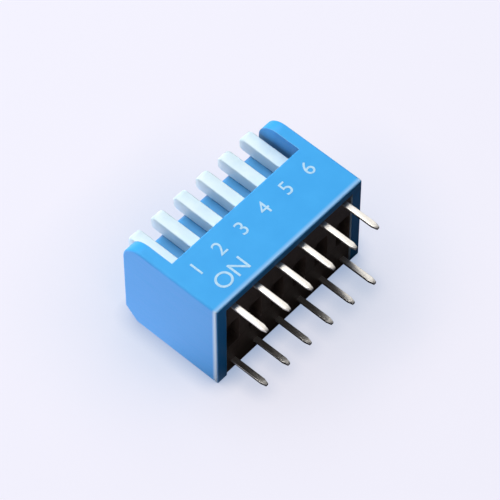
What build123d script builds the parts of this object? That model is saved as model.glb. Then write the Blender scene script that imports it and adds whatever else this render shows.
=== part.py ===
from build123d import *
import os
from math import cos, radians, tan

# A six-way lever-type DIP switch, modelled as it lies on its rear wall with the numbered face up.
# X runs along the row of levers, Y from the pin side to the lever side, Z out of the numbered face.
# The origin is the middle of the pin pattern, in the plane of the cover's pin-side rim.
# All lengths are in millimetres.

# Grid of the ways and the two rows of pins
way_count = 6
pitch = 2.54
row_spacing = 7.62

# Cover
end_margin = 0.73
row_margin = 1.14
cover_height = 9.8
end_wall = 1.1
side_wall = 0.75
top_wall = 0.9
rear_chamfer = 1.2
corner_round = 1.9
edge_round = 0.18
rim_round = 0.2

# Notch in the cover, where the levers lie
notch_depth = 3.0
notch_wall = 0.7
notch_edge_round = 0.12
ledge_round = 1.05
window_clearance = 0.12

# Lever
lever_width = 1.15
lever_thickness = 1.4
lever_overhang = 0.8
lever_rest_gap = 0.03
lever_swing_degrees = 15
lever_stop_gap = 0.04
lever_edge_chamfer = 0.1
tip_round = 0.5
hub_radius = 0.72
hub_gap = 0.1
foot_thickness = 0.95
foot_overrun = 0.6

# Lever bearings, half in the cover and half in the base
pivot_rise = 1.9
trunnion_radius = 0.4
trunnion_clearance = 0.04
trunnion_end_gap = 0.06
bearing_wall = 0.7
fin_thickness = 0.6
fin_gap = 0.1
tongue_thickness = 0.5

# Base
base_recess = 0.15
base_thickness = 2.05
base_fit = 0.04
lip_thickness = 0.9
partition_thickness = 0.5
partition_height = 2.6
partition_gap = 0.2
pocket_width = 1.5
pocket_length = 3.0
pocket_depth = 1.0
pocket_round = 0.25

# Terminals
pin_width = 0.5
pin_length = 3.4
tip_length = 0.5
tip_width = 0.24
strip_thickness = 0.25
blade_width = 0.9
shoulder_height = 0.45
bend_radius = 0.3

# Contact clips and the places where they touch the terminals, off the mid plane
clip_width = 0.8
clip_thickness = 0.15
clip_leg = 0.7
clip_fit = 0.02
dome_radius = 0.35
contact_gap = 0.02
front_contact_offset = 0.8
rear_contact_offset = 1.8
tab_overrun = 0.4

# Cuts run past the faces that they open by this much
overrun = 0.5

# Places worked out from the sizes above
cover_length = way_count * pitch + end_margin + end_margin
cover_depth = row_spacing + row_margin + row_margin
face_z = cover_depth / 2
row_z = row_spacing / 2
side_inner_z = face_z - side_wall
end_inner_x = cover_length / 2 - end_wall

base_top_y = base_recess + base_thickness
lip_top_y = base_recess + lip_thickness
pivot_y = base_top_y + pivot_rise
notch_back_y = pivot_y + hub_radius + hub_gap
notch_y = notch_back_y + notch_wall
ledge_z = face_z - notch_depth
ledge_under_z = ledge_z - notch_wall

arm_bottom_z = ledge_z + lever_rest_gap
arm_top_z = arm_bottom_z + lever_thickness
pivot_z = arm_bottom_z + lever_thickness / 2
tip_y = cover_height + lever_overhang
bearing_radius = trunnion_radius + trunnion_clearance

tab_top_y = base_top_y + strip_thickness
clip_bottom_y = tab_top_y + contact_gap + dome_radius
foot_bottom_y = clip_bottom_y + clip_thickness
foot_top_y = foot_bottom_y + foot_thickness
foot_end_z = -rear_contact_offset - foot_overrun
clip_front_z = front_contact_offset + dome_radius + clip_thickness

way_places = [(way - (way_count - 1) / 2) * pitch for way in range(way_count)]
bearing_places = [(way - way_count / 2) * pitch for way in range(way_count + 1)]


def side_outline(*points):
    """A closed outline in the plane across the row, given as (y, z) points."""
    return make_face(Plane.YZ * Polyline(*points, close=True))


def across(outline, width):
    """An outline in the plane across the row, thickened evenly to both sides."""
    return extrude(outline, amount=width / 2, both=True)


def block(x_ends, y_ends, z_ends):
    """A plain block between two places along each axis."""
    ends = (x_ends, y_ends, z_ends)
    middle = [(low + high) / 2 for low, high in ends]
    sizes = [high - low for low, high in ends]
    return Pos(*middle) * Box(*sizes)


def pivot_rod(radius, x_ends):
    """A round rod along the levers' pivot line, between two places along the row."""
    low, high = x_ends
    lying = Rot(0, 90, 0) * Cylinder(radius, high - low)
    return Pos((low + high) / 2, pivot_y, pivot_z) * lying


def cover_blank():
    """The outside of the cover, with its chamfered rear edge, rounded front edges and rounded end faces."""
    outline = side_outline(
        (0, face_z),
        (cover_height, face_z),
        (cover_height, rear_chamfer - face_z),
        (cover_height - rear_chamfer, -face_z),
        (0, -face_z),
    )
    front_corner = outline.vertices().group_by(Axis.Y)[-1].sort_by(Axis.Z)[-1]
    outline = fillet(front_corner, corner_round)
    blank = across(outline, cover_length)
    rim_edge = blank.edges().filter_by(Axis.X).sort_by_distance((0, 0, face_z))[0]
    blank = fillet(rim_edge, rim_round)
    end_faces = blank.faces().filter_by(Axis.X)
    return fillet(end_faces.edges(), edge_round)


def cover_notch():
    """The step cut along the lever edge, between the two end walls."""
    return block(
        (-end_inner_x, end_inner_x),
        (notch_y, cover_height + overrun),
        (ledge_z, face_z + overrun),
    )


def cover_cavity():
    """The hollow inside, which follows the outside and passes under the ledge of the notch."""
    inner_top_y = cover_height - top_wall
    inner_chamfer = rear_chamfer - top_wall + side_wall
    outline = side_outline(
        (-overrun, side_inner_z),
        (notch_back_y, side_inner_z),
        (notch_back_y, ledge_under_z),
        (inner_top_y, ledge_under_z),
        (inner_top_y, inner_chamfer - side_inner_z),
        (inner_top_y - inner_chamfer, -side_inner_z),
        (-overrun, -side_inner_z),
    )
    return across(outline, end_inner_x + end_inner_x)


def lever_window():
    """The opening that one lever swings in. Its upper edge is the lever's upper stop."""
    swing = radians(lever_swing_degrees)
    raised_top = (notch_y - pivot_y) * tan(swing) + lever_thickness / 2 / cos(swing)
    half_width = lever_width / 2 + window_clearance
    return block(
        (-half_width, half_width),
        (notch_back_y - overrun, notch_y + overrun),
        (ledge_z, pivot_z + raised_top + lever_stop_gap),
    )


def bearing_fin():
    """A web between two levers that holds the bearing slot for their trunnions."""
    outline = side_outline(
        (base_top_y + fin_gap, side_inner_z),
        (notch_back_y, side_inner_z),
        (notch_back_y, ledge_under_z),
        (base_top_y + fin_gap, pivot_z - bearing_radius - bearing_wall),
    )
    return across(outline, fin_thickness)


def bearing_slot(x_ends):
    """A slot with a round end, open towards the pin side, that a trunnion drops into."""
    run_in = block(x_ends, (base_top_y, pivot_y), (pivot_z - bearing_radius, pivot_z + bearing_radius))
    return pivot_rod(bearing_radius, x_ends) + run_in


def make_cover():
    """The one-piece moulded cover."""
    cover = cover_blank() - cover_notch()
    lips = ((notch_y, face_z, notch_edge_round), (cover_height, ledge_z, ledge_round))
    for lip_y, lip_z, lip_round in lips:
        lip = cover.edges().sort_by_distance((0, lip_y, lip_z))[0]
        cover = fillet(lip, lip_round)
    cover -= cover_cavity()
    cover -= block(
        (-end_inner_x, end_inner_x),
        (-overrun, lip_top_y + base_fit),
        (-face_z - overrun, -side_inner_z),
    )
    for place in bearing_places[1:-1]:
        cover += Pos(place, 0, 0) * bearing_fin()
        cover -= bearing_slot((place - fin_thickness, place + fin_thickness))
    end_place = bearing_places[-1]
    cover -= bearing_slot((end_place - fin_thickness, end_place + fin_thickness / 2))
    cover -= bearing_slot((-end_place - fin_thickness / 2, fin_thickness - end_place))
    for place in way_places:
        cover -= Pos(place, 0, 0) * lever_window()
    return cover


def make_terminal(side, contact_offset):
    """A stamped and bent terminal: pin, shouldered blade and contact tab. Side is 1 at the front row."""
    half_pin = pin_width / 2
    half_tip = tip_width / 2
    outline = Polyline(
        (-half_pin, shoulder_height),
        (-half_pin, tip_length - pin_length),
        (-half_tip, -pin_length),
        (half_tip, -pin_length),
        (half_pin, tip_length - pin_length),
        (half_pin, shoulder_height),
        close=True,
    )
    pin_plate = Plane.XY.offset(side * row_z) * make_face(outline)
    pin = extrude(pin_plate, amount=strip_thickness / 2, both=True)
    tab_y = base_top_y + strip_thickness / 2
    bend = FilletPolyline(
        (0, shoulder_height, side * row_z),
        (0, tab_y, side * row_z),
        (0, tab_y, side * (contact_offset - tab_overrun)),
        radius=bend_radius,
    )
    start = Plane(origin=bend @ 0, x_dir=(1, 0, 0), z_dir=bend % 0)
    return pin + sweep(start * Rectangle(blade_width, strip_thickness), path=bend)


def base_pocket():
    """A cored-out pocket in the underside of the base, which keeps the moulding thin."""
    outline = Plane.XZ.offset(-base_recess) * RectangleRounded(pocket_width, pocket_length, pocket_round)
    return extrude(outline, amount=-pocket_depth)


def bearing_tongue():
    """The post that closes a bearing slot from below, hollowed on top to seat the trunnions."""
    half_width = bearing_radius - base_fit
    half_thickness = tongue_thickness / 2
    post = block(
        (-half_thickness, half_thickness),
        (base_top_y, pivot_y - trunnion_radius / 2),
        (pivot_z - half_width, pivot_z + half_width),
    )
    return post - pivot_rod(bearing_radius, (-half_thickness, half_thickness))


def make_base(terminals):
    """The black base, moulded round the terminals and carrying posts and partitions inside."""
    base_front_z = side_inner_z - base_fit
    outline = side_outline(
        (base_recess, base_front_z),
        (base_top_y, base_front_z),
        (base_top_y, -base_front_z),
        (lip_top_y, -base_front_z),
        (lip_top_y, -face_z),
        (base_recess, -face_z),
    )
    base = across(outline, end_inner_x + end_inner_x - base_fit - base_fit)
    for place in way_places:
        base -= Pos(place, 0, 0) * base_pocket()
    half_partition = partition_thickness / 2
    for place in bearing_places[1:-1]:
        base += block(
            (place - half_partition, place + half_partition),
            (base_top_y, base_top_y + partition_height),
            (-base_front_z, ledge_under_z - partition_gap),
        )
        base += Pos(place, 0, 0) * bearing_tongue()
    for terminal in terminals:
        base -= terminal
    return base


def make_lever():
    """A bell-crank lever: key arm, hub with two trunnions, and a foot that carries the contact clip."""
    arm = side_outline(
        (pivot_y, arm_bottom_z),
        (tip_y, arm_bottom_z),
        (tip_y, arm_top_z),
        (pivot_y, arm_top_z),
    )
    arm = fillet(arm.vertices().group_by(Axis.Y)[-1], tip_round)
    hub = Plane.YZ * Pos(pivot_y, pivot_z) * Circle(hub_radius)
    foot = side_outline(
        (pivot_y, pivot_z),
        (pivot_y, pivot_z - hub_radius),
        (foot_top_y, pivot_z - hub_radius),
        (foot_top_y, foot_end_z),
        (foot_bottom_y, foot_end_z),
        (foot_bottom_y, pivot_z),
    )
    lever = across(arm + hub + foot, lever_width)
    arm_edges = lever.faces().filter_by(Axis.X).edges().filter_by_position(Axis.Y, notch_back_y, tip_y)
    lever = chamfer(arm_edges, lever_edge_chamfer)
    trunnion_end = pitch / 2 - trunnion_end_gap
    lever += pivot_rod(trunnion_radius, (-trunnion_end, trunnion_end))
    half_slot = clip_width / 2 + clip_fit
    return lever - block(
        (-half_slot, half_slot),
        (foot_bottom_y - overrun, foot_bottom_y + clip_leg + clip_fit),
        (clip_front_z - clip_thickness - clip_fit, clip_front_z + clip_fit),
    )


def make_clip():
    """A contact clip under the lever's foot: a strip with two contact ridges and two holding legs."""
    leg_top_y = foot_bottom_y + clip_leg
    rear_inner_z = foot_end_z - clip_fit
    rear_outer_z = rear_inner_z - clip_thickness
    outline = side_outline(
        (clip_bottom_y, rear_outer_z),
        (leg_top_y, rear_outer_z),
        (leg_top_y, rear_inner_z),
        (foot_bottom_y, rear_inner_z),
        (foot_bottom_y, clip_front_z - clip_thickness),
        (leg_top_y, clip_front_z - clip_thickness),
        (leg_top_y, clip_front_z),
        (clip_bottom_y, clip_front_z),
    )
    for ridge_z in (front_contact_offset, -rear_contact_offset):
        outline += Plane.YZ * Pos(clip_bottom_y, ridge_z) * Circle(dome_radius)
    outline -= side_outline(
        (foot_bottom_y, clip_front_z - clip_thickness),
        (foot_bottom_y, rear_inner_z),
        (leg_top_y, rear_inner_z),
        (leg_top_y, clip_front_z - clip_thickness),
    )
    return across(outline, clip_width)


front_terminal = make_terminal(1, front_contact_offset)
rear_terminal = make_terminal(-1, rear_contact_offset)
lever = make_lever()
clip = make_clip()

nodes = {}
for number, place in enumerate(way_places, start=1):
    nodes[f"front_terminal_{number}"] = Pos(place, 0, 0) * front_terminal
    nodes[f"rear_terminal_{number}"] = Pos(place, 0, 0) * rear_terminal
terminals = list(nodes.values())
for number, place in enumerate(way_places, start=1):
    nodes[f"lever_{number}"] = Pos(place, 0, 0) * lever
    nodes[f"contact_clip_{number}"] = Pos(place, 0, 0) * clip
nodes["cover"] = make_cover()
nodes["base"] = make_base(terminals)

os.makedirs("parts", exist_ok=True)
for name, solid in nodes.items():
    export_step(solid, f"parts/{name}.step")
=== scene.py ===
from math import cos, radians, sin

import bmesh
import bpy
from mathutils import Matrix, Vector


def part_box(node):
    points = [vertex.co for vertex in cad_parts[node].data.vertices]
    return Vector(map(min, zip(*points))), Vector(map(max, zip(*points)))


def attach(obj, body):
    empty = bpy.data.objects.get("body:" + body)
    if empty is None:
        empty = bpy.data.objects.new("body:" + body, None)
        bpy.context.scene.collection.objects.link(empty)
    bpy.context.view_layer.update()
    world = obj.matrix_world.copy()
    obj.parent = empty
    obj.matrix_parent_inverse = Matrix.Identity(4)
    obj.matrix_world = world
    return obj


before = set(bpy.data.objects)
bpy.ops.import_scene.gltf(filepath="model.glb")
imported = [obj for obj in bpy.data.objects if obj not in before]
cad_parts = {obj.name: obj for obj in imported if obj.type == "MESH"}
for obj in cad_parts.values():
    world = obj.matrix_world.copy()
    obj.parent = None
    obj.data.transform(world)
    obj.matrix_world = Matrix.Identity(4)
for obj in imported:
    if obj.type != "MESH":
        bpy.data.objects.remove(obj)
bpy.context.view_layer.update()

# The looks of a six-way lever DIP switch, which lies on its rear wall with the numbered face up.
# X runs along the row of levers, Y from the pins to the levers, Z out of the numbered face.
# Lengths are in metres. A pair of numbers is the two ends of a range.

mm = 0.001

cover_low, cover_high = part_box("cover")
way_numbers = [str(number) for number in range(1, 7)]

# Camera, at the photograph's angle
camera_azimuth = radians(-47.8)
camera_elevation = radians(55.76)
camera_distance = 250 * mm
camera_lens = 232.6
frame_shift_right = -3.08 * mm
frame_shift_up = 2.49 * mm

# Softboxes
key_place = Vector((-10, 165, 240)) * mm
key_size = 220 * mm
key_watts = 0.90
back_place = Vector((170, 120, 215)) * mm
back_size = 200 * mm
back_watts = 0.12
side_place = Vector((-275, 110, 130)) * mm
side_size = 220 * mm
side_watts = 0.05
far_place = Vector((250, 175, 130)) * mm
far_size = 220 * mm
far_watts = 0.10
light_colour = (1.0, 0.985, 0.97)

# Sky
sky_colour = (0.93, 0.94, 1.0, 1)
sky_bright_way = (-0.45, 0.75, 0.5)
sky_turn_ends = (-0.4, 0.9)
sky_strengths = (0.02, 0.22)
sky_gloss_strength = 0.17

# Table, with its shade round the part and the light that it throws at the lever side
table_radius = 2.5
table_sides = 96
table_colour = (0.80, 0.79, 0.90)
table_roughness = 0.6
table_glow_colour = (0.905, 0.895, 1.0, 1)
table_glow = 0.84
table_open_ends = (0.4, 1.0)
# The shade round the part is a painted shadow in the table's glow, spread most across the part and least in
# front of it.
table_shade_reach = 12 * mm
table_shade_colour = (0.70, 0.76, 0.90, 1)
table_across_way = (0.67, -0.74, 0)
table_across_ends = (2 * mm, 10 * mm)
table_across_shares = (0.5, 2.2)
table_front_way = (-0.74, -0.67, 0)
table_front_ends = (0, 11 * mm)
table_front_shares = (1.0, 0.35)
# The contact colour is a painted shadow where the part meets the table.
table_contact_reach = 1.6 * mm
table_contact_shade_colour = (0.40, 0.50, 0.70, 1)
table_bounce_way = (-0.71, 0.71, 0)
table_bounce_ends = (4.5 * mm, 10.5 * mm)
table_bounce_strengths = (0.0, 1.33)
table_bounce_colour = (0.10, 0.10, 0.12, 1)

# Edges, rounded in the meshes
edge_limit = radians(46)
edge_steps = 2
edge_weld_gap = 0.0005 * mm
flat_face_weight = 80
edge_widths = {
    "cover": 0.05 * mm,
    "base": 0.04 * mm,
    "lever": 0.05 * mm,
    "terminal": 0.03 * mm,
    "clip": 0.02 * mm,
}

# Effects that several finishes share
rising_shares = (0.0, 1.0)
fading_shares = (1.0, 0.0)
noise_ends = (0.3, 0.7)
fleck_ends = (0.5, 0.75)
grain_detail = 3.0
grain_roughness = 0.6
mottle_detail = 4.0
mottle_roughness = 0.55
line_detail = 3.0
fleck_detail = 2.0
edge_turn_ends = (1.0, 0.8)
edge_samples = 4
recess_dark_share = 0.3
recess_samples = 16
plastic_ior = 1.5

# Blue moulding of the cover
cover_skin = {"Grain_Size": 0.09 * mm, "Mottle_Size": 2.4 * mm}
cover_relief = {"strength": 0.12, "depth": 0.01 * mm}
cover_roughness = (0.38, 0.50)
cover_specular = 0.23
cover_blue = (0.029, 0.37, 0.85, 1)
cover_mottle_blue = (0.038, 0.405, 0.89, 1)
cover_edge_radius = 0.12 * mm
# The paler blue on the cover's edges is a painted highlight.
cover_edge_highlight_blue = (0.36, 0.66, 0.94, 1)
cover_edge_highlight_share = 0.5
# The paler blue of the end walls is a painted sheen, streaked along the tool's draw.
wall_sheen_blue = (0.082, 0.39, 0.90, 1)
wall_facing_ends = (0.4, 0.9)
wall_streak_scales = (9 / mm, 0.35 / mm, 9 / mm)
wall_streak_detail = 3.0
wall_streak_shares = (0.55, 1.0)
# The deeper blue of the pin-side rim face is painted shade.
rim_shade_blue = (0.010, 0.17, 0.48, 1)
rim_shade_share = 0.55
rim_facing_ends = (-0.95, -0.75)
# The pale line round the pin-side rim is a painted highlight.
rim_line_highlight_blue = (0.62, 0.78, 0.93, 1)
rim_line_ends = (0.20 * mm, 0.50 * mm)
rim_line_facing_ends = (-0.9, -0.4)
rim_line_turn_ends = (0.0, 0.7)
rim_line_turn_shares = (0.4, 0.95)
# The grey in the notch is painted shade, deepest where walls and levers close round it.
notch_shade_grey = (0.11, 0.19, 0.26, 1)
notch_shade_share = 0.65
notch_recess = {"Reach": 2.4 * mm, "Open_Share": 0.9}
notch_height_ends = (-1.0 * mm, 0.5 * mm)

# Off-white moulding of the levers
lever_skin = {"Grain_Size": 0.07 * mm, "Mottle_Size": 1.2 * mm}
lever_relief = {"strength": 0.08, "depth": 0.01 * mm}
lever_roughness = (0.28, 0.40)
lever_white = (0.60, 0.77, 0.86, 1)
lever_mottle_white = (0.68, 0.83, 0.90, 1)
lever_edge_radius = 0.08 * mm
lever_edge_polish = 0.06
lever_recess = {"Reach": 1.6 * mm, "Open_Share": 0.8}
# The grey on the levers where they stand close is painted shade.
lever_shade_grey = (0.20, 0.24, 0.28, 1)
lever_shade_share = 0.15
lever_depth_weight = 0.15
lever_depth_colours = (1.0, 0.9, 0.8)
lever_depth = 0.25 * mm

# Black moulding of the base
base_skin = {"Grain_Size": 0.06 * mm, "Mottle_Size": 1.0 * mm}
base_relief = {"strength": 0.25, "depth": 0.012 * mm}
base_roughness = (0.42, 0.62)
base_black = (0.066, 0.045, 0.034, 1)
base_mottle_black = (0.105, 0.073, 0.055, 1)
base_edge_radius = 0.08 * mm
base_edge_brown = (0.15, 0.115, 0.095, 1)
base_edge_share = 0.5

# Tin on the terminals
tin_strip = {"Line_Width": 0.03 * mm, "Line_Length": 1.6 * mm, "Fleck_Size": 0.09 * mm}
tin_relief = {"strength": 0.08, "depth": 0.006 * mm}
tin_roughness = (0.29, 0.41)
tin_grey = (0.66, 0.635, 0.59, 1)
tin_line_grey = (0.78, 0.755, 0.705, 1)
tin_edge_radius = 0.05 * mm
tin_edge_grey = (0.42, 0.41, 0.40, 1)
tin_edge_share = 0.4

# Gold on the contact clips
gold_strip = {"Line_Width": 0.02 * mm, "Line_Length": 0.8 * mm, "Fleck_Size": 0.06 * mm}
gold_relief = {"strength": 0.12, "depth": 0.005 * mm}
gold_roughness = (0.20, 0.34)
gold_yellow = (0.72, 0.49, 0.19, 1)
gold_line_yellow = (0.86, 0.62, 0.27, 1)
gold_edge_radius = 0.04 * mm
gold_edge_yellow = (0.92, 0.72, 0.40, 1)
gold_edge_share = 0.3

# Print on the numbered face
ink_skin = {"Grain_Size": 0.06 * mm, "Mottle_Size": 0.35 * mm}
ink_relief = {"strength": 0.2, "depth": 0.006 * mm}
ink_roughness = (0.5, 0.65)
ink_thin_white = (0.30, 0.62, 0.89, 1)
ink_white = (0.54, 0.77, 0.92, 1)
ink_thickness = 0.012 * mm
ink_join_gap = 0.0002 * mm
digit_height = 1.35 * mm
digit_middle_y = 3.8 * mm
word_height = 1.5 * mm
word_middle = Vector((-4.85, 1.6)) * mm
cap_height_share = 0.73


def set_sockets(tree, node, sockets):
    """Sets each named or numbered input of a node to a value, or links it to an output."""
    for key, value in sockets.items():
        if isinstance(value, bpy.types.NodeSocket):
            tree.links.new(value, node.inputs[key])
        else:
            node.inputs[key].default_value = value


def add_node(tree, kind, sockets=None, **settings):
    """Adds a node with its settings and inputs."""
    node = tree.nodes.new(kind)
    for name, value in settings.items():
        setattr(node, name, value)
    set_sockets(tree, node, sockets or {})
    return node


def add_math(tree, operation, *values):
    """Adds a Math node and gives its output."""
    node = add_node(tree, "ShaderNodeMath", dict(enumerate(values)), operation=operation)
    return node.outputs[0]


def add_range(tree, value, ends, results=rising_shares):
    """Maps a value from one range to another, held at the ends."""
    node = add_node(tree, "ShaderNodeMapRange", {
        "Value": value,
        "From Min": ends[0],
        "From Max": ends[1],
        "To Min": results[0],
        "To Max": results[1],
    })
    return node.outputs["Result"]


def add_mix(tree, share, first, second):
    """Mixes two colours by a share and gives the colour."""
    node = add_node(tree, "ShaderNodeMix", data_type="RGBA")
    set_sockets(tree, node, {0: share, 6: first, 7: second})
    return node.outputs[2]


def add_tint(tree, mask, share, colour, tint):
    """Takes a colour a share of the way to a tint, where a mask is full."""
    return add_mix(tree, add_math(tree, "MULTIPLY", mask, share), colour, tint)


def add_places(tree):
    """Each point's place in its own object's frame."""
    return tree.nodes.new("ShaderNodeTexCoord").outputs["Object"]


def add_facing(tree):
    """The way that the surface faces."""
    return tree.nodes.new("ShaderNodeNewGeometry").outputs["Normal"]


def add_split(tree, vector):
    """The X, Y and Z of a vector."""
    return add_node(tree, "ShaderNodeSeparateXYZ", {0: vector}).outputs


def add_stretch(tree, places, scales):
    """Places scaled along each axis by its own amount."""
    node = add_node(tree, "ShaderNodeVectorMath", {0: places, 1: scales}, operation="MULTIPLY")
    return node.outputs["Vector"]


def add_along(tree, vector, way):
    """How far a vector goes along a way."""
    node = add_node(tree, "ShaderNodeVectorMath", {0: vector, 1: way}, operation="DOT_PRODUCT")
    return node.outputs["Value"]


def add_noise(tree, places, scale, detail, roughness=0.5):
    """Adds a noise and gives its value."""
    sockets = {"Vector": places, "Scale": scale, "Detail": detail, "Roughness": roughness}
    return add_node(tree, "ShaderNodeTexNoise", sockets).outputs["Fac"]


def add_openness(tree, reach):
    """How open each point is to its surroundings within a reach."""
    node = add_node(tree, "ShaderNodeAmbientOcclusion", {"Distance": reach}, samples=recess_samples)
    return node.outputs["AO"]


def new_group(name, inputs, outputs):
    """Starts a shader node group with number inputs and outputs. Gives the group and its two end nodes."""
    group = bpy.data.node_groups.new(name, "ShaderNodeTree")
    for title, value in inputs.items():
        socket = group.interface.new_socket(name=title, in_out="INPUT", socket_type="NodeSocketFloat")
        socket.default_value = value
    for title in outputs:
        group.interface.new_socket(name=title, in_out="OUTPUT", socket_type="NodeSocketFloat")
    return group, group.nodes.new("NodeGroupInput"), group.nodes.new("NodeGroupOutput")


def make_moulded_skin():
    """The skin that a moulding takes from its tool: fine grain and slow mottling."""
    inputs = {"Grain Size": 0.1 * mm, "Mottle Size": 2 * mm}
    group, given, result = new_group("moulded_skin", inputs, ["Grain", "Mottle"])
    places = add_places(group)
    grain_scale = add_math(group, "DIVIDE", 1.0, given.outputs["Grain Size"])
    mottle_scale = add_math(group, "DIVIDE", 1.0, given.outputs["Mottle Size"])
    mottle = add_noise(group, places, mottle_scale, mottle_detail, mottle_roughness)
    set_sockets(group, result, {
        "Grain": add_noise(group, places, grain_scale, grain_detail, grain_roughness),
        "Mottle": add_range(group, mottle, noise_ends),
    })
    return group


def make_worn_edge():
    """A mask of the outer and inner edges within a small radius, from the rounded normal."""
    group, given, result = new_group("edge_wear_and_highlight", {"Radius": 0.1 * mm}, ["Edge"])
    rounded = add_node(group, "ShaderNodeBevel", {"Radius": given.outputs["Radius"]}, samples=edge_samples)
    turn = add_along(group, rounded.outputs["Normal"], add_facing(group))
    set_sockets(group, result, {"Edge": add_range(group, turn, edge_turn_ends)})
    return group


def make_shaded_recess():
    """A mask of the places that walls close by keep the light from."""
    group, given, result = new_group("shaded_recess", {"Reach": 2 * mm, "Open Share": 1.0}, ["Shade"])
    open_ends = (recess_dark_share, given.outputs["Open Share"])
    openness = add_openness(group, given.outputs["Reach"])
    set_sockets(group, result, {"Shade": add_range(group, openness, open_ends, fading_shares)})
    return group


def make_rolled_strip():
    """Rolling lines along a metal strip, with small flecks."""
    inputs = {"Line Width": 0.02 * mm, "Line Length": 1.5 * mm, "Fleck Size": 0.08 * mm}
    group, given, result = new_group("rolled_strip", inputs, ["Lines", "Flecks"])
    places = add_places(group)
    across = add_math(group, "DIVIDE", 1.0, given.outputs["Line Width"])
    along = add_math(group, "DIVIDE", 1.0, given.outputs["Line Length"])
    scales = add_node(group, "ShaderNodeCombineXYZ", {"X": across, "Y": along, "Z": along})
    drawn = add_stretch(group, places, scales.outputs["Vector"])
    lines = add_noise(group, drawn, 1.0, line_detail)
    fleck_scale = add_math(group, "DIVIDE", 1.0, given.outputs["Fleck Size"])
    flecks = add_noise(group, places, fleck_scale, fleck_detail)
    set_sockets(group, result, {
        "Lines": add_range(group, lines, noise_ends),
        "Flecks": add_range(group, flecks, fleck_ends),
    })
    return group


moulded_skin = make_moulded_skin()
edge_wear_and_highlight = make_worn_edge()
shaded_recess = make_shaded_recess()
rolled_strip = make_rolled_strip()


def new_finish(name):
    """Starts a material. Gives the material, its node tree and its Principled shader."""
    material = bpy.data.materials.new(name)
    material.use_nodes = True
    tree = material.node_tree
    return material, tree, tree.nodes["Principled BSDF"]


def use_group(tree, group, **values):
    """Places a shared effect in a material with its own values."""
    node = tree.nodes.new("ShaderNodeGroup")
    node.node_tree = group
    set_sockets(tree, node, {title.replace("_", " "): value for title, value in values.items()})
    return node.outputs


def add_relief(tree, shader, height, strength, depth):
    """Bumps a shader's normal by a height."""
    sockets = {"Height": height, "Strength": strength, "Distance": depth}
    relief = add_node(tree, "ShaderNodeBump", sockets)
    set_sockets(tree, shader, {"Normal": relief.outputs["Normal"]})


def add_drawn_walls(tree):
    """A mask of the end walls for a painted sheen, streaked along the way that the moulding leaves its
    tool.
    """
    drawn = add_stretch(tree, add_places(tree), wall_streak_scales)
    streaks = add_noise(tree, drawn, 1.0, wall_streak_detail)
    sideways = add_math(tree, "ABSOLUTE", add_split(tree, add_facing(tree))["X"])
    wall = add_range(tree, sideways, wall_facing_ends)
    return add_math(tree, "MULTIPLY", wall, add_range(tree, streaks, noise_ends, wall_streak_shares))


def add_rim_masks(tree):
    """Masks of the pin-side rim's own face, for painted shade, and of the pale line round it, a painted
    highlight, strongest on the ends.
    """
    place = add_split(tree, add_places(tree))
    facing = add_split(tree, add_facing(tree))
    rim_face = add_range(tree, facing["Y"], rim_facing_ends, fading_shares)
    near_rim = add_range(tree, place["Y"], rim_line_ends, fading_shares)
    outward = add_range(tree, facing["Y"], rim_line_facing_ends)
    sideways = add_math(tree, "ABSOLUTE", facing["X"])
    on_ends = add_range(tree, sideways, rim_line_turn_ends, rim_line_turn_shares)
    rim_line = add_math(tree, "MULTIPLY", add_math(tree, "MULTIPLY", near_rim, outward), on_ends)
    return rim_face, rim_line


def add_notch_shade(tree):
    """A mask of the shaded places in the notch, well above the table."""
    height = add_split(tree, add_places(tree))["Z"]
    raised = add_range(tree, height, notch_height_ends)
    return add_math(tree, "MULTIPLY", raised, use_group(tree, shaded_recess, **notch_recess)["Shade"])


def make_cover_blue():
    """Satin blue moulding: paler on end walls as a painted sheen, paler on edges as a painted highlight,
    deeper on the pin-side rim and grey in the notch as painted shade, with a painted highlight line round
    the rim.
    """
    material, tree, shader = new_finish("satin_blue_moulding")
    skin = use_group(tree, moulded_skin, **cover_skin)
    edge = use_group(tree, edge_wear_and_highlight, Radius=cover_edge_radius)["Edge"]
    rim_face, rim_line = add_rim_masks(tree)
    body = add_mix(tree, skin["Mottle"], cover_blue, cover_mottle_blue)
    # The paler blue on the end walls is a painted sheen.
    drawn = add_mix(tree, add_drawn_walls(tree), body, wall_sheen_blue)
    # The deeper blue on the pin-side rim face is painted shade.
    rim_shaded = add_tint(tree, rim_face, rim_shade_share, drawn, rim_shade_blue)
    # The paler blue on the edges is a painted highlight.
    edge_highlighted = add_tint(tree, edge, cover_edge_highlight_share, rim_shaded, cover_edge_highlight_blue)
    # The pale line round the rim is a painted highlight.
    rim_line_highlighted = add_mix(tree, rim_line, edge_highlighted, rim_line_highlight_blue)
    # The grey in the notch is painted shade.
    shaded = add_tint(tree, add_notch_shade(tree), notch_shade_share, rim_line_highlighted, notch_shade_grey)
    set_sockets(tree, shader, {
        "Base Color": shaded,
        "Roughness": add_range(tree, skin["Grain"], noise_ends, cover_roughness),
        "Specular IOR Level": cover_specular,
    })
    add_relief(tree, shader, skin["Grain"], **cover_relief)
    return material


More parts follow.
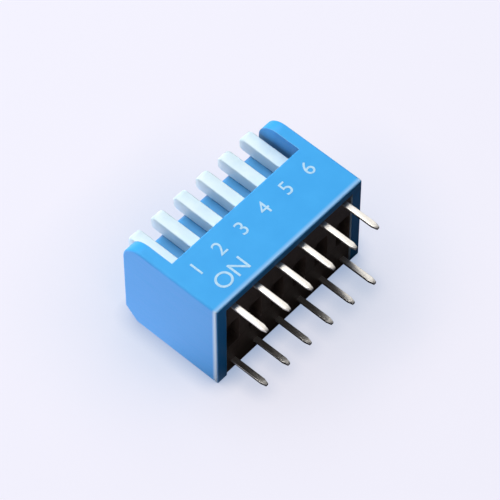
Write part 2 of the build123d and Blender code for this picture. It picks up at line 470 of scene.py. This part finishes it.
def make_lever_white():
    """Off-white moulding that lets a little light in, smoother on its edges, with painted shade grey
    between the levers.
    """
    material, tree, shader = new_finish("off_white_moulding")
    skin = use_group(tree, moulded_skin, **lever_skin)
    edge = use_group(tree, edge_wear_and_highlight, Radius=lever_edge_radius)["Edge"]
    shade = use_group(tree, shaded_recess, **lever_recess)["Shade"]
    body = add_mix(tree, skin["Mottle"], lever_white, lever_mottle_white)
    roughness = add_range(tree, skin["Grain"], noise_ends, lever_roughness)
    polish = add_math(tree, "MULTIPLY", edge, lever_edge_polish)
    set_sockets(tree, shader, {
        "Base Color": add_tint(tree, shade, lever_shade_share, body, lever_shade_grey),
        "Roughness": add_math(tree, "SUBTRACT", roughness, polish),
        "IOR": plastic_ior,
        "Subsurface Weight": lever_depth_weight,
        "Subsurface Radius": lever_depth_colours,
        "Subsurface Scale": lever_depth,
    })
    add_relief(tree, shader, skin["Grain"], **lever_relief)
    return material


def make_base_black():
    """Matt black moulding with a brown cast, paler along its edges."""
    material, tree, shader = new_finish("matt_black_filled_moulding")
    skin = use_group(tree, moulded_skin, **base_skin)
    edge = use_group(tree, edge_wear_and_highlight, Radius=base_edge_radius)["Edge"]
    body = add_mix(tree, skin["Mottle"], base_black, base_mottle_black)
    set_sockets(tree, shader, {
        "Base Color": add_tint(tree, edge, base_edge_share, body, base_edge_brown),
        "Roughness": add_range(tree, skin["Grain"], noise_ends, base_roughness),
        "IOR": plastic_ior,
    })
    add_relief(tree, shader, skin["Grain"], **base_relief)
    return material


def make_terminal_tin():
    """Bright tin over rolled strip, greyer along the sheared edges."""
    material, tree, shader = new_finish("bright_tin_plate")
    strip = use_group(tree, rolled_strip, **tin_strip)
    edge = use_group(tree, edge_wear_and_highlight, Radius=tin_edge_radius)["Edge"]
    body = add_mix(tree, strip["Lines"], tin_grey, tin_line_grey)
    set_sockets(tree, shader, {
        "Base Color": add_tint(tree, edge, tin_edge_share, body, tin_edge_grey),
        "Roughness": add_range(tree, strip["Flecks"], rising_shares, tin_roughness),
        "Metallic": 1.0,
    })
    add_relief(tree, shader, strip["Lines"], **tin_relief)
    return material


def make_clip_gold():
    """Thin gold over spring strip, paler along its edges."""
    material, tree, shader = new_finish("gold_plated_spring")
    strip = use_group(tree, rolled_strip, **gold_strip)
    edge = use_group(tree, edge_wear_and_highlight, Radius=gold_edge_radius)["Edge"]
    body = add_mix(tree, strip["Lines"], gold_yellow, gold_line_yellow)
    set_sockets(tree, shader, {
        "Base Color": add_tint(tree, edge, gold_edge_share, body, gold_edge_yellow),
        "Roughness": add_range(tree, strip["Flecks"], rising_shares, gold_roughness),
        "Metallic": 1.0,
    })
    add_relief(tree, shader, strip["Lines"], **gold_relief)
    return material


def make_print_white():
    """White ink, a little thin in places so that the blue shows through."""
    material, tree, shader = new_finish("white_pad_print")
    skin = use_group(tree, moulded_skin, **ink_skin)
    set_sockets(tree, shader, {
        "Base Color": add_mix(tree, skin["Mottle"], ink_thin_white, ink_white),
        "Roughness": add_range(tree, skin["Grain"], noise_ends, ink_roughness),
    })
    add_relief(tree, shader, skin["Grain"], **ink_relief)
    return material


def add_table_shade(tree, reach):
    """A mask of the table within a reach of the part, deepest where the part stands over it."""
    return add_range(tree, add_openness(tree, reach), table_open_ends, fading_shares)


def add_table_glow(tree, places):
    """The colour that the table glows with, shaded round the part and most where the part meets it."""
    aside = add_math(tree, "ABSOLUTE", add_along(tree, places, table_across_way))
    aside_share = add_range(tree, aside, table_across_ends, table_across_shares)
    front = add_along(tree, places, table_front_way)
    front_share = add_range(tree, front, table_front_ends, table_front_shares)
    spread = add_math(tree, "MULTIPLY", aside_share, front_share)
    shade = add_math(tree, "MULTIPLY", add_table_shade(tree, table_shade_reach), spread)
    shaded = add_mix(tree, shade, table_glow_colour, table_shade_colour)
    return add_mix(tree, add_table_shade(tree, table_contact_reach), shaded, table_contact_shade_colour)


def make_table_pale():
    """A plain pale table that glows where it is seen, and throws light at the lever side of the part."""
    material, tree, shader = new_finish("pale_lit_table")
    places = add_places(tree)
    unlit_colour = [channel * (1 - table_glow) for channel in table_colour]
    set_sockets(tree, shader, {
        "Base Color": (*unlit_colour, 1),
        "Roughness": table_roughness,
        "Specular IOR Level": 0.0,
        "Emission Color": add_table_glow(tree, places),
        "Emission Strength": table_glow,
    })
    along = add_along(tree, places, table_bounce_way)
    strength = add_range(tree, along, table_bounce_ends, table_bounce_strengths)
    dim = add_node(tree, "ShaderNodeBsdfDiffuse", {"Color": table_bounce_colour})
    lit = add_node(tree, "ShaderNodeEmission", {"Color": table_glow_colour, "Strength": strength})
    bounce = add_node(tree, "ShaderNodeAddShader", {0: dim.outputs["BSDF"], 1: lit.outputs["Emission"]})
    table = add_node(tree, "ShaderNodeMixShader", {
        0: tree.nodes.new("ShaderNodeLightPath").outputs["Is Camera Ray"],
        1: bounce.outputs["Shader"],
        2: shader.outputs["BSDF"],
    })
    set_sockets(tree, tree.nodes["Material Output"], {"Surface": table.outputs["Shader"]})
    return material


def piece_kind(node_name):
    """The kind of piece that a node is, from its name."""
    if node_name in ("cover", "base"):
        return node_name
    if node_name.startswith("lever"):
        return "lever"
    return "clip" if node_name.startswith("contact_clip") else "terminal"


def soften_edges(piece, width):
    """Rounds the sharp edges of a moulded or stamped piece, and shades its flats flat."""
    piece.modifiers.new("joined_faces", "WELD").merge_threshold = edge_weld_gap
    rounding = piece.modifiers.new("rounded_edges", "BEVEL")
    rounding.width = width
    rounding.segments = edge_steps
    rounding.limit_method = "ANGLE"
    rounding.angle_limit = edge_limit
    rounding.use_clamp_overlap = True
    shading = piece.modifiers.new("flat_faces", "WEIGHTED_NORMAL")
    shading.keep_sharp = False
    shading.weight = flat_face_weight


def dress_nodes():
    """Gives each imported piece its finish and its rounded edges."""
    finishes = {
        "cover": make_cover_blue(),
        "base": make_base_black(),
        "lever": make_lever_white(),
        "terminal": make_terminal_tin(),
        "clip": make_clip_gold(),
    }
    for node_name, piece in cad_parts.items():
        kind = piece_kind(node_name)
        piece.material_slots[0].material = finishes[kind]
        soften_edges(piece, edge_widths[kind])


def close_letters(mesh):
    """Joins the faces of printed letters, and turns edges inside the flats until each face has an area."""
    work = bmesh.new()
    work.from_mesh(mesh)
    bmesh.ops.remove_doubles(work, verts=work.verts, dist=ink_join_gap)
    flats = [face for face in work.faces if len({corner.co.z > 0 for corner in face.verts}) == 1]
    inner_edges = [edge for edge in work.edges if all(face in flats for face in edge.link_faces)]
    bmesh.ops.beautify_fill(work, faces=flats, edges=inner_edges)
    work.to_mesh(mesh)
    work.free()


def print_mark(name, words, middle, height, ink):
    """Prints words flat on the numbered face, about a middle point, as a thin raised film of ink."""
    curve = bpy.data.curves.new(name + "_letters", "FONT")
    curve.body = words
    curve.align_x = "CENTER"
    curve.align_y = "CENTER"
    curve.size = height / cap_height_share
    curve.extrude = ink_thickness / 2
    letters = bpy.data.objects.new(name + "_letters", curve)
    mark = bpy.data.objects.new(name, bpy.data.meshes.new_from_object(letters))
    bpy.data.objects.remove(letters)
    close_letters(mark.data)
    mark.data.materials.clear()
    mark.data.materials.append(ink)
    mark.location = (middle.x, middle.y, cover_high.z + ink_thickness / 2)
    bpy.context.scene.collection.objects.link(mark)
    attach(mark, "housing")


def print_face():
    """The way numbers in a row below the levers, and the word that marks the closed side."""
    ink = make_print_white()
    for number in way_numbers:
        lever_low, lever_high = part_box("lever_" + number)
        middle = Vector(((lever_low.x + lever_high.x) / 2, digit_middle_y))
        print_mark("printed_number_" + number, number, middle, digit_height, ink)
    print_mark("printed_word", "ON", word_middle, word_height, ink)


def lay_floor():
    """A wide plain table under the rear wall."""
    bpy.ops.mesh.primitive_circle_add(vertices=table_sides, radius=table_radius, fill_type="NGON")
    floor = bpy.context.object
    floor.name = "pale_table"
    floor.location.z = cover_low.z
    floor.data.materials.append(make_table_pale())


def add_softbox(name, place, size, watts):
    """A square soft light, aimed at the middle of the part."""
    lamp = bpy.data.lights.new(name, "AREA")
    lamp.size = size
    lamp.energy = watts
    lamp.color = light_colour
    holder = bpy.data.objects.new(name, lamp)
    holder.location = place
    holder.rotation_euler = (-place).to_track_quat("-Z", "Y").to_euler()
    bpy.context.scene.collection.objects.link(holder)


def hang_sky():
    """A sky that is brighter behind the levers than in front of the pins, and never dim in gloss."""
    sky = bpy.data.worlds.new("studio_sky")
    sky.use_nodes = True
    tree = sky.node_tree
    way = tree.nodes.new("ShaderNodeTexCoord").outputs["Generated"]
    strength = add_range(tree, add_along(tree, way, sky_bright_way), sky_turn_ends, sky_strengths)
    in_gloss = tree.nodes.new("ShaderNodeLightPath").outputs["Is Glossy Ray"]
    gloss_strength = add_math(tree, "MULTIPLY", in_gloss, sky_gloss_strength)
    lit = add_math(tree, "MAXIMUM", strength, gloss_strength)
    set_sockets(tree, tree.nodes["Background"], {"Color": sky_colour, "Strength": lit})
    bpy.context.scene.world = sky


def light_studio():
    """Four softboxes and the sky, shown with plain colours."""
    add_softbox("key_softbox", key_place, key_size, key_watts)
    add_softbox("back_softbox", back_place, back_size, back_watts)
    add_softbox("side_softbox", side_place, side_size, side_watts)
    add_softbox("far_softbox", far_place, far_size, far_watts)
    hang_sky()
    bpy.context.scene.view_settings.view_transform = "Standard"


def place_camera():
    """A long lens that looks down on the near end, as in the photograph."""
    back = Vector((
        sin(camera_azimuth) * cos(camera_elevation),
        -cos(camera_azimuth) * cos(camera_elevation),
        sin(camera_elevation),
    ))
    right = Vector((cos(camera_azimuth), sin(camera_azimuth), 0))
    up = back.cross(right)
    lens = bpy.data.cameras.new("photo_lens")
    lens.lens = camera_lens
    camera = bpy.data.objects.new("photo_camera", lens)
    camera.location = right * frame_shift_right + up * frame_shift_up + back * camera_distance
    camera.rotation_euler = (-back).to_track_quat("-Z", "Y").to_euler()
    bpy.context.scene.collection.objects.link(camera)
    bpy.context.scene.camera = camera


dress_nodes()
print_face()
lay_floor()
light_studio()
place_camera()
